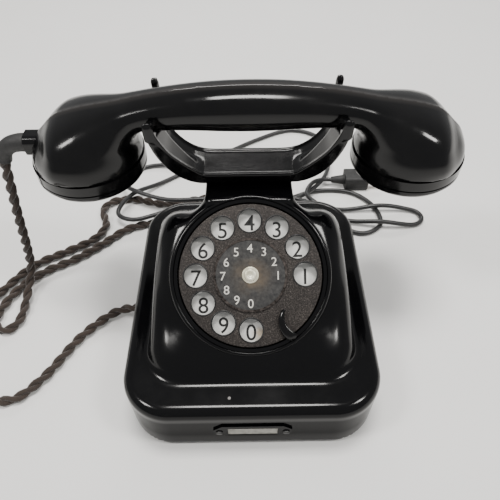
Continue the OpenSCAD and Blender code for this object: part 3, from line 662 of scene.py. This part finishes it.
def housing_field(p):
    """The pressed steel body: a pan with a rolled edge, a hood with two soft corners, a collar and a neck."""
    x, y, z = p.T
    pan = rounded_top(rounded_rect(x, y - MID_Y, HIGH[0], (HIGH[1] - LOW[1]) / 2, 27), z - FLANGE_Z, 6)
    rise = np.maximum(z - FLANGE_Z, 0)
    lean = 0.06 * rise + 0.0022 * rise ** 2
    mid = (HOOD_FRONT + HOOD_BACK) / 2
    side = rounded_rect(x, y - mid, HOOD_HALF_X, (HOOD_BACK - HOOD_FRONT) / 2, 19) + lean
    apron = z - 45.4 - 0.12 * (y - HOOD_FRONT)
    along_dial = (z - 70.5 - DIAL_RISE * (y + 15.4)) / DIAL_SLANT
    front = smooth_min(apron, along_dial, 9)
    front = front - CORNER_BULGE * np.exp(-((np.abs(x) - 35) / 14) ** 2 - ((y + 45) / 11) ** 2)
    back = 0.692 * (y - 18) + 0.722 * (z - 91)
    roof = smooth_max(front, back, 10)
    hood = smooth_max(side, roof, 12)
    hood = np.maximum(hood, FLANGE_Z - 6 - z)
    neck = rounded_top(rounded_rect(x, y - HANDSET_Y / MM, *NECK_HALF, 4), z - NECK_Z, 1.2)
    neck = np.maximum(neck, FLANGE_Z - 4 - z)
    dx, dy, dz = dial_space(p)
    radius = np.hypot(dx, dy)
    collar = rounded_top(np.maximum(radius - COLLAR_R, -20 - dz), dz + 5, 1)
    body = smooth_min(pan, hood, 3.5)
    body = smooth_min(body, neck, 11)
    body = smooth_min(body, collar, 9)
    bore = np.maximum(radius - BORE_R, -12.6 - dz)
    return np.maximum(np.maximum(body, -bore), FOOT_Z - z)


COLLAR_RIM = [
    (43.9, -16), (41.9, -12), (41.9, -0.4), (42.1, 0.2), (42.5, 0.5), (43.3, 0.5), (44.1, 0.1),
    (44.7, -0.8), (45, -2), (45.2, -4.5), (45.2, -12)
]


def add_housing():
    """The body, with the rolled rim of the dial's collar as a turned ring of its own."""
    moulded("steel_body", housing_field, (-73, -83, 1.2), (73, 84, 102), 1.25, BLACK_ENAMEL, "base", "enamel",
            "housing")
    lathe("collar_rim", COLLAR_RIM, DIAL_FRAME, BLACK_ENAMEL, "base", "enamel", segments=128)


add_housing()


# ---- cradle ----

RIM = [
    (0, 110), (21, 110), (26, 111.4), (30, 115.6), (34.5, 121.6), (39.5, 129.5), (42.6, 136),
    (45.4, 143), (47, 150)
]
BACK_RIM = [
    (0, 110), (20, 110), (28, 111.2), (34, 113.8), (39, 117.5), (43, 122), (45.6, 128), (46.8, 135),
    (48, 150)
]
KEEL = [
    (0, 101), (24, 101), (30, 102), (35, 105), (39.8, 110.2), (44.2, 118.5), (47.4, 129), (50, 140),
    (51.6, 150)
]
KEEL_Z = 101
SIDE_LEAN = 0.376
END_X = 51.4
FLOOR_T = 0.9
HORN_X, HORN_Y, HORN_R = 49.2, 20.0, 2.0
FRONT_HORN_Z, BACK_HORN_Z = 148.2, 149.0


def profile_distance(points, x, z):
    """Height of (x, z) over a smooth line through points, scaled to a distance."""
    line = curve_points([(a, 0, b) for a, b in points], 8)
    height = np.interp(x, line[:, 0], line[:, 2])
    slope = np.interp(x, line[:, 0], np.gradient(line[:, 2], line[:, 0] + np.arange(len(line)) * 1e-9))
    return (z - height) / np.sqrt(1 + np.clip(slope, 0, 4) ** 2)


def cradle_field(p):
    """A boat-shaped saddle with leaning sides and four horns."""
    x = np.abs(p[:, 0])
    y = np.abs(p[:, 1] - HANDSET_Y / MM)
    z = p[:, 2]
    to_back = ramp(p[:, 1], HANDSET_Y / MM - 5, HANDSET_Y / MM + 5)
    rim = profile_distance(RIM, x, z) * (1 - to_back) + profile_distance(BACK_RIM, x, z) * to_back
    keel = -profile_distance(KEEL, x, z)
    top = np.where(p[:, 1] < HANDSET_Y / MM, FRONT_HORN_Z, BACK_HORN_Z)
    side = smooth_max(y - 9.0 - SIDE_LEAN * (z - KEEL_Z), y - 21.4, 3)
    inner = smooth_max(y - 6.8 - SIDE_LEAN * (z - KEEL_Z), y - 19.2, 3)
    hollow = smooth_max(inner, -FLOOR_T - rim, 1.6)
    shell = smooth_max(smooth_max(rim, keel, 1.6), smooth_max(side, x - END_X, 1.0), 1.6)
    wall = smooth_max(shell, -hollow, 1.0)
    horn = np.hypot(x - HORN_X, (y - HORN_Y) * 1.35) - HORN_R
    horn = rounded_top(np.maximum(horn, 140 - z), z - top, 1.5)
    return smooth_min(wall, horn, 2.0)


def add_cradle():
    moulded("cradle_fork", cradle_field, (-57, 15, 99.6), (57, 63, 151), 0.8, BAKELITE, "cradle", "bakelite",
            "cradle")


add_cradle()


# ---- handset ----

CAP_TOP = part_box("ear_cap")[1][2] / MM
RIDGE_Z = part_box("handset_shell")[1][2] / MM
RIDGE_BOW_R = 282.0
GRIP_LOW_Z = 133.8
GRIP_HALF_Y = 14.4
GRIP_POWER = 2.35
GRIP_END_X = 100
BELL_R = 29.7
BELL_TALL = 25.2
BELL_POWER = 2.08
THREAD_R = 27.4
CAPSULE_R = 25.4
CORD_BOSS_Z = 125


def handset_field(p):
    """The grip, thicker in the middle, that runs into a bell over each capsule."""
    x = np.abs(p[:, 0])
    y = p[:, 1] - HANDSET_Y / MM
    z = p[:, 2]
    top = RIDGE_Z - RIDGE_BOW_R + np.sqrt(RIDGE_BOW_R ** 2 - x ** 2)
    low = GRIP_LOW_Z + 1.4 * ramp(x, 0, 40) - 15 * ramp(x, 52, 84)
    half = GRIP_HALF_Y - 0.8 * ramp(x, 10, 45) + 10 * ramp(x, 52, 96)
    mid = (top + low) / 2
    tall = (top - low) / 2
    ring = (np.abs(y / half) ** GRIP_POWER + np.abs((z - mid) / tall) ** GRIP_POWER) ** (1 / GRIP_POWER)
    grip = (ring - 1) * np.minimum(half, tall)
    grip = smooth_max(grip, x - GRIP_END_X, 6)
    bell_x = (x - CAPSULE_X / MM) / BELL_R
    lift = 0.10 * (CAPSULE_X / MM - x)
    bell_z = np.maximum((z - CAP_TOP) / (BELL_TALL + np.clip(lift, -2.0, 2.5)), 0)
    out = (np.hypot(bell_x, y / BELL_R) ** BELL_POWER + bell_z ** BELL_POWER) ** (1 / BELL_POWER)
    bell = (out - 1) * 26
    shell = smooth_min(grip, bell, 11)
    crease = 0.6 * (1 - np.exp(-np.abs(y) / 2.6)) * ramp(z, CAP_TOP + 4, CAP_TOP + 14)
    flat = rounded_top(shell + crease, CAP_TOP - z, 0.9)
    off_axis = np.hypot(x - CAPSULE_X / MM, y)
    thread = np.maximum(off_axis - THREAD_R, np.abs(z - CAP_TOP + 4) - 5)
    hollow = np.maximum(off_axis - CAPSULE_R, z - CAP_TOP - 6)
    boss_seat = np.maximum(rounded_rect(y, z - CORD_BOSS_Z, 6, 6, 4), p[:, 0] + 112)
    return np.maximum(np.maximum(np.minimum(flat, thread), -hollow), -boss_seat)


def add_handset():
    moulded("handset_grip", handset_field, (-121, 6, 108), (121, 72, 159), 1.25, SEAM_HIGHLIT_BAKELITE, "handset",
            "bakelite", "handset_shell")


add_handset()


def add_boot():
    """The tapered rubber sleeve that the cord leaves the handset by."""
    route = [(-119.6, 39, 125), (-124, 39, 125), (-129.2, 39, 123.6), (-133.8, 39, 119.8), (-136.5, 39, 114)]
    line, along = even_points(route, 0.5)
    share = along / along[-1]
    end_lip = 0.25 * np.exp(-((share - 1) / 0.06) ** 2)
    verts, faces = tube_mesh(line, 5.15 - 0.95 * share + end_lip, 40)
    add_piece("cord_boot", verts * MM, faces, RUBBER, "handset", "rubber", "handset_boot")


add_boot()


# ---- dial ----

WHEEL_R, WHEEL_T = 39.3, 2.0
HOLE_R, HOLE_PITCH = 6.5, 30.0
HOLES = 10
HOLE_STEP = 30
TEXT_PER_HEIGHT = 1.38
HOLE_RIM = [(6.25, -0.2), (6.3, 0.08), (6.55, 0.2), (6.85, 0.2), (7.05, 0.08), (7.1, -0.1)]
NUT_FACE = [
    (0, 2.0), (1.4, 2.05), (1.55, 2.35), (2.9, 2.35), (3.15, 2.1), (3.2, 1.5), (4.3, 1.35), (4.6, 1.1),
    (4.6, 0.8)
]


def around_dial(index, radius):
    """Where finger hole number index lies, at a radius in millimetres."""
    a = math.radians(HOLE_STEP * index)
    return radius * math.cos(a), radius * math.sin(a)


def circle_spline(data, x, y, radius, count=64):
    """Adds a closed circle to a flat curve."""
    spline = data.splines.new("POLY")
    spline.points.add(count - 1)
    for i, point in enumerate(spline.points):
        a = 2 * math.pi * i / count
        point.co = ((x + radius * math.cos(a)) * MM, (y + radius * math.sin(a)) * MM, 0, 1)
    spline.use_cyclic_u = True


def mesh_of(obj, place):
    """Corners and faces of a curve or text object, placed by a matrix; the object is then removed."""
    graph = bpy.context.evaluated_depsgraph_get()
    graph.update()
    mesh = bpy.data.meshes.new_from_object(obj.evaluated_get(graph))
    verts = [place @ v.co for v in mesh.vertices]
    faces = [tuple(f.vertices) for f in mesh.polygons]
    bpy.data.objects.remove(obj)
    return verts, faces


def add_wheel():
    """The finger wheel with rolled hole edges."""
    edge = 0.35
    data = bpy.data.curves.new("wheel_outline", "CURVE")
    data.dimensions = "2D"
    data.fill_mode = "BOTH"
    data.extrude = (WHEEL_T / 2 - edge) * MM
    data.bevel_depth = edge * MM
    data.bevel_resolution = 3
    data.offset = -edge * MM
    circle_spline(data, 0, 0, WHEEL_R, 160)
    for i in range(HOLES):
        circle_spline(data, *around_dial(i, HOLE_PITCH), HOLE_R)
    outline = bpy.data.objects.new("wheel_outline", data)
    scene.collection.objects.link(outline)
    place = DIAL_FRAME @ Matrix.Translation((0, 0, -WHEEL_T / 2 * MM))
    verts, faces = mesh_of(outline, place)
    obj = add_piece("wheel_plate", verts, faces, CRACKLE, "finger_wheel", "dial_metal", "finger_wheel")
    obj.data.set_sharp_from_angle(angle=math.radians(32))
    for i in range(HOLES):
        x, y = around_dial(i, HOLE_PITCH)
        at = DIAL_FRAME @ Matrix.Translation((x * MM, y * MM, 0))
        lathe(f"hole_rim_{i}", HOLE_RIM, at, BLACK_STEEL, "finger_wheel", "dial_metal", segments=56)


def digits(name, radius, height, lift, swell, drop, material, body, slot):
    """The upright digits 1 to 9 and 0, each a little below the middle of its finger hole."""
    all_verts, all_faces = [], []
    for i in range(HOLES):
        data = bpy.data.curves.new("digit", "FONT")
        data.body = str((i + 1) % 10)
        data.size = height * TEXT_PER_HEIGHT * MM
        data.align_x = "CENTER"
        data.align_y = "CENTER"
        data.extrude = 0.03 * MM
        data.offset = swell * MM
        text = bpy.data.objects.new("digit", data)
        scene.collection.objects.link(text)
        x, y = around_dial(i, radius)
        at = Matrix.Translation((x * MM, (y - drop) * MM, lift * MM))
        verts, faces = mesh_of(text, DIAL_FRAME @ at)
        start = len(all_verts)
        all_verts += verts
        all_faces += [tuple(v + start for v in f) for f in faces]
    add_piece(name, all_verts, all_faces, material, body, slot, smooth=False)


def add_stop():
    """The finger stop: a claw that rises from the rim and curls in over the wheel."""
    claw = [(41.5, -2.6, 1.3), (39.5, -3.6, 2.4), (36.3, -4.2, 2.9), (32.8, -3.8, 3.0), (29.4, -2.2, 2.9),
            (26.9, 0.4, 2.6), (26, 2.6, 2.3)]
    turn = Matrix.Rotation(math.radians(-52), 4, "Z")
    line, along = even_points(claw, 0.4)
    share = along / along[-1]
    wide = 3.1 - 2.3 * share ** 1.3
    thick = 0.95 - 0.45 * share
    verts, faces = tube_mesh(line, wide, 20, across=thick, start=(0.3, 1.0, 0.0))
    place = DIAL_FRAME @ turn
    add_piece("stop_claw", [place @ Vector(v * MM) for v in verts], faces, BAKELITE, "base", "bakelite",
              "finger_stop")


def add_dial():
    add_wheel()
    add_stop()
    digits("plate_digits", 30.4, 9.0, -4.93, 0.05, 1.7, PRINT_BLACK, "base", "number_white")
    digits("card_digits", 15.1, 4.9, 0.86, 0.02, 0.7, PRINT_WHITE, "finger_wheel", "number_white")
    paint(WHITE, "number_plate")
    paint(CARD_METAL, "card_disc")
    paint(RING_METAL, "card_ring")
    lathe("nut_face", NUT_FACE, DIAL_FRAME, NUT_METAL, "finger_wheel", "nickel", "centre_nut", segments=64)


add_dial()


# ---- the CAD nodes that stay ----

paint(BLACK_ENAMEL, "dial_cup", "label_frame", "base_plate")
paint(BAKELITE, "ear_cap", "mouth_cap", "handset_gland", "cradle_plug", "terminal_block")
paint(RUBBER, "rubber_feet", "side_gland", "rear_gland", "line_plug")
paint(PAPER, "label_card")
paint(BLACK_STEEL, "label_screws", "base_screws")
paint(STEEL, "dial_pillars", "dial_shaft", "pinion_shaft", "cradle_spring", "cradle_stem", "stem_guide",
      "ringer_frame", "gong_left", "gong_right", "gong_screws", "armature", "armature_pin", "capacitor",
      "switch_bracket", "return_spring")
paint(BRASS, "dial_frame", "pulse_contacts", "main_gear", "pinion_gear", "pulse_cam", "governor",
      "hook_contacts", "clapper_rod", "terminal_screws", "handset_terminals", "capsule_springs",
      "receiver_capsule", "microphone_capsule", "plug_pins")
paint(MAGNET_RED, "ringer_magnet")
paint(WINDING, "ringer_coils", "induction_coil")


# ---- floor and light ----

def add_stage():
    """The plain pale floor."""
    mesh = bpy.data.meshes.new("floor")
    half = 3.0
    corners = [(-half, -half, 0), (half, -half, 0), (half, half, 0), (-half, half, 0)]
    mesh.from_pydata(corners, [], [(0, 1, 2, 3)])
    floor = bpy.data.objects.new("floor", mesh)
    scene.collection.objects.link(floor)
    s = Shader("pale_floor", rough=0.6)
    s.colour(s.ramp(s.noise(6, 3.0), (0.3, (0.83, 0.825, 0.81)), (0.75, (0.86, 0.855, 0.84))))
    mesh.materials.append(s.mat)


def add_area(name, place, target, size, power):
    """A slightly warm rectangular light that faces a target."""
    data = bpy.data.lights.new(name, "AREA")
    data.shape = "RECTANGLE"
    data.size, data.size_y = size
    data.energy = power
    data.color = (1.0, 0.98, 0.95)
    light = bpy.data.objects.new(name, data)
    scene.collection.objects.link(light)
    aim = Vector(target) - Vector(place)
    light.matrix_world = Matrix.Translation(place) @ aim.to_track_quat("-Z", "Y").to_matrix().to_4x4()


def add_lights():
    middle = (0.0, 0.03, 0.08)
    add_area("key", (0.0, 0.15, 1.5), middle, (0.5, 0.3), 18)
    add_area("left_window", (-0.75, -0.25, 1.15), middle, (0.2, 0.3), 7)
    add_area("right_window", (0.75, -0.25, 1.15), middle, (0.2, 0.3), 7)
    add_area("back", (0.0, 1.15, 0.8), middle, (0.8, 0.14), 5)
    world = bpy.data.worlds.new("studio")
    world.use_nodes = True
    back = world.node_tree.nodes["Background"]
    back.inputs["Color"].default_value = (0.8, 0.8, 0.8, 1.0)
    back.inputs["Strength"].default_value = 0.5
    scene.world = world


add_stage()
add_lights()
